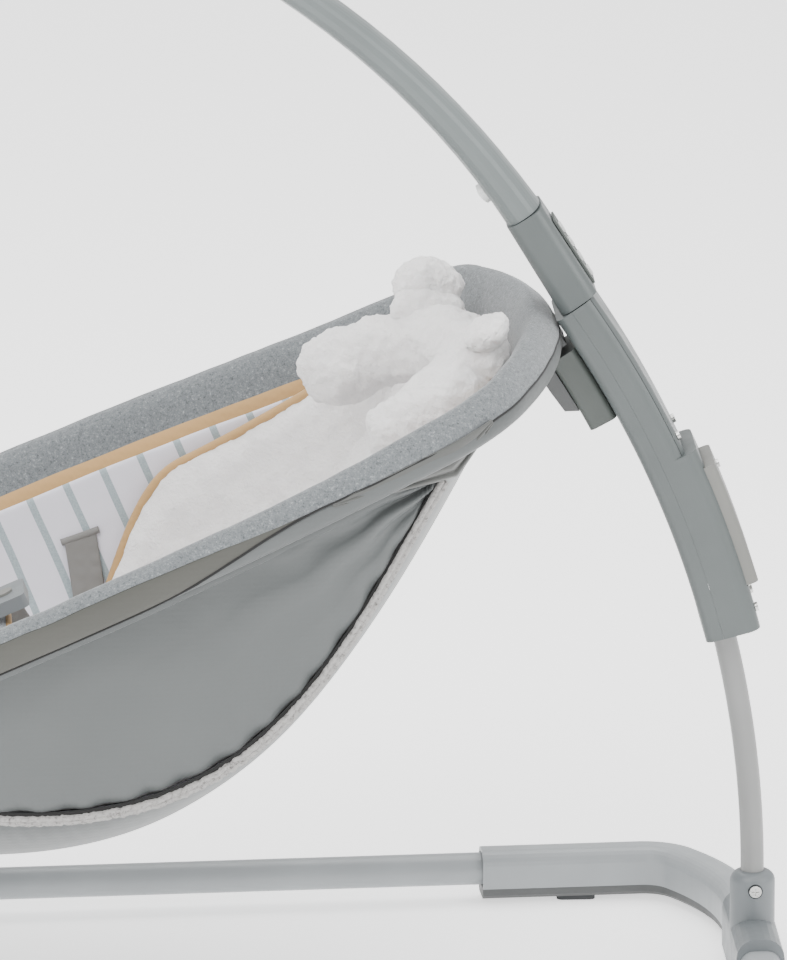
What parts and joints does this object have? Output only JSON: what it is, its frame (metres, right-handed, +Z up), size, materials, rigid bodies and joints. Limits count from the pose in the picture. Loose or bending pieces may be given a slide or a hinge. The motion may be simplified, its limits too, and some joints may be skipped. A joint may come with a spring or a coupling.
{
  "type": "baby swing",
  "caption": "Infant seat with a padded bucket that rides up and down an arched post on a floor frame, with a toy bar above.",
  "frame": {"origin": "centre of the object's footprint on the floor", "axes": "+X to the rear, where the post stands, +Z up, and the seat is symmetric about the plane Y = 0"},
  "size_m": [0.782, 0.441, 0.78],
  "materials": {
    "light_shell": "satin",
    "dark_shell": "matt",
    "rubber_pad": "matt",
    "hub_shell": "satin",
    "steel": "satin",
    "post_paint": "satin powder coat",
    "housing_shell": "satin",
    "black_shell": "matt",
    "light_pipe": "clear",
    "circuit": "matt",
    "belt_rubber": "matt",
    "cell_jacket": "satin",
    "door_shell": "satin",
    "pale_shell": "satin",
    "bar_shell": "satin",
    "white_plush": "short pile",
    "grey_plush": "short pile",
    "heather_fabric": "heather knit",
    "grey_nylon": "smooth woven",
    "striped_liner": "printed stripes",
    "restraint_fabric": "bound edge",
    "webbing": "woven tape"
  },
  "bodies": {
    "base": {"rail_left": "light_shell", "rail_right": "light_shell", "front_bar": "light_shell", "corner_left": "light_shell", "corner_right": "light_shell", "corner_foot_left": "dark_shell", "corner_foot_right": "dark_shell", "foot_pads": "rubber_pad", "rear_hub": "hub_shell", "hub_screw": "steel", "post_tube": "post_paint", "tower_left": "dark_shell", "tower_right": "dark_shell", "housing_front": "housing_shell", "housing_rear": "housing_shell", "housing_screws": "steel", "neck_shell": "housing_shell", "control_panel": "black_shell", "indicator_lights": "light_pipe", "speaker": "black_shell", "circuit_board": "circuit", "gear_motor": "black_shell", "drive_belt": "belt_rubber", "batteries": "cell_jacket", "battery_contacts": "steel"},
    "seat": {"seat_ring": "steel", "arm_left": "dark_shell", "arm_right": "dark_shell", "pivot_pins": "steel", "hanger": "dark_shell", "carriage": "black_shell", "slide_shoe": "pale_shell", "belt_clamp": "black_shell", "rim_pad": "heather_fabric", "side_panel_left": "grey_nylon", "side_panel_right": "grey_nylon", "bottom_panel": "grey_nylon", "seat_liner": "striped_liner", "seat_pad": "white_plush", "head_support": "white_plush", "restraint_pad": "restraint_fabric", "waist_straps": "webbing", "buckle": "hub_shell"},
    "battery_door": {"battery_door": "door_shell", "door_screw": "steel"},
    "power_button": {"power_button": "pale_shell"},
    "speed_button": {"speed_button": "pale_shell"},
    "melody_button": {"melody_button": "pale_shell"},
    "volume_button": {"volume_button": "pale_shell"},
    "drive_pulley": {"drive_pulley": "pale_shell"},
    "idler_pulley": {"idler_pulley": "pale_shell"},
    "toy_bar": {"toy_bar": "bar_shell", "toy_crossbar": "bar_shell", "release_spring": "steel"},
    "release_button": {"release_button": "pale_shell"},
    "toy_left": {"toy_left": "white_plush"},
    "toy_right": {"toy_right": "grey_plush"},
    "buckle_button": {"buckle_button": "door_shell"}
  },
  "joints": [
    {"name": "seat_swing", "type": "hinge", "parent": "base", "child": "seat", "pos_m": [-0.319, 0, 0.073], "axis": [0, 1, 0], "range_deg": [0, 15]},
    {"name": "battery_door_lift", "type": "slide", "parent": "base", "child": "battery_door", "axis": [0.9394, 0, 0.3428], "range_m": [0, 0.03]},
    {"name": "volume_press", "type": "slide", "parent": "base", "child": "volume_button", "axis": [-0.848, 0, -0.5299], "range_m": [0, 0.0012], "stiffness_N_per_m": 300, "springref_m": -0.001},
    {"name": "melody_press", "type": "slide", "parent": "base", "child": "melody_button", "axis": [-0.848, 0, -0.5299], "range_m": [0, 0.0012], "stiffness_N_per_m": 300, "springref_m": -0.001},
    {"name": "speed_press", "type": "slide", "parent": "base", "child": "speed_button", "axis": [-0.848, 0, -0.5299], "range_m": [0, 0.0012], "stiffness_N_per_m": 300, "springref_m": -0.001},
    {"name": "power_press", "type": "slide", "parent": "base", "child": "power_button", "axis": [-0.848, 0, -0.5299], "range_m": [0, 0.0012], "stiffness_N_per_m": 300, "springref_m": -0.001},
    {"name": "drive_pulley_spin", "type": "hinge", "parent": "base", "child": "drive_pulley", "pos_m": [0.25767, 0, 0.44749], "axis": [0.8387, 0, 0.5446], "range_deg": [0, 1300]},
    {"name": "idler_pulley_spin", "type": "hinge", "parent": "base", "child": "idler_pulley", "pos_m": [0.34343, 0, 0.25733], "axis": [0.9634, 0, 0.2681], "range_deg": [0, 1300]},
    {"name": "toy_bar_pull", "type": "slide", "parent": "base", "child": "toy_bar", "axis": [-0.5299, 0, 0.848], "range_m": [0, 0.06]},
    {"name": "release_press", "type": "slide", "parent": "toy_bar", "child": "release_button", "axis": [0.8028, 0, 0.5962], "range_m": [0, 0.0025], "stiffness_N_per_m": 300, "springref_m": -0.002, "deforming": ["release_spring"]},
    {"name": "toy_left_swing", "type": "hinge", "parent": "toy_bar", "child": "toy_left", "pos_m": [-0.16412, -0.056, 0.77074], "axis": [0, 1, 0], "range_deg": [-35, 35]},
    {"name": "toy_right_swing", "type": "hinge", "parent": "toy_bar", "child": "toy_right", "pos_m": [-0.16412, 0.056, 0.77074], "axis": [0, 1, 0], "range_deg": [-35, 35]},
    {"name": "buckle_press", "type": "slide", "parent": "seat", "child": "buckle_button", "axis": [0.3891, 0, -0.9212], "range_m": [0, 0.002], "stiffness_N_per_m": 300, "springref_m": -0.002}
  ],
  "couplings": [
    {"joint": "drive_pulley_spin", "follows": "seat_swing", "ratio": 85.95},
    {"joint": "idler_pulley_spin", "follows": "seat_swing", "ratio": 85.95}
  ]
}
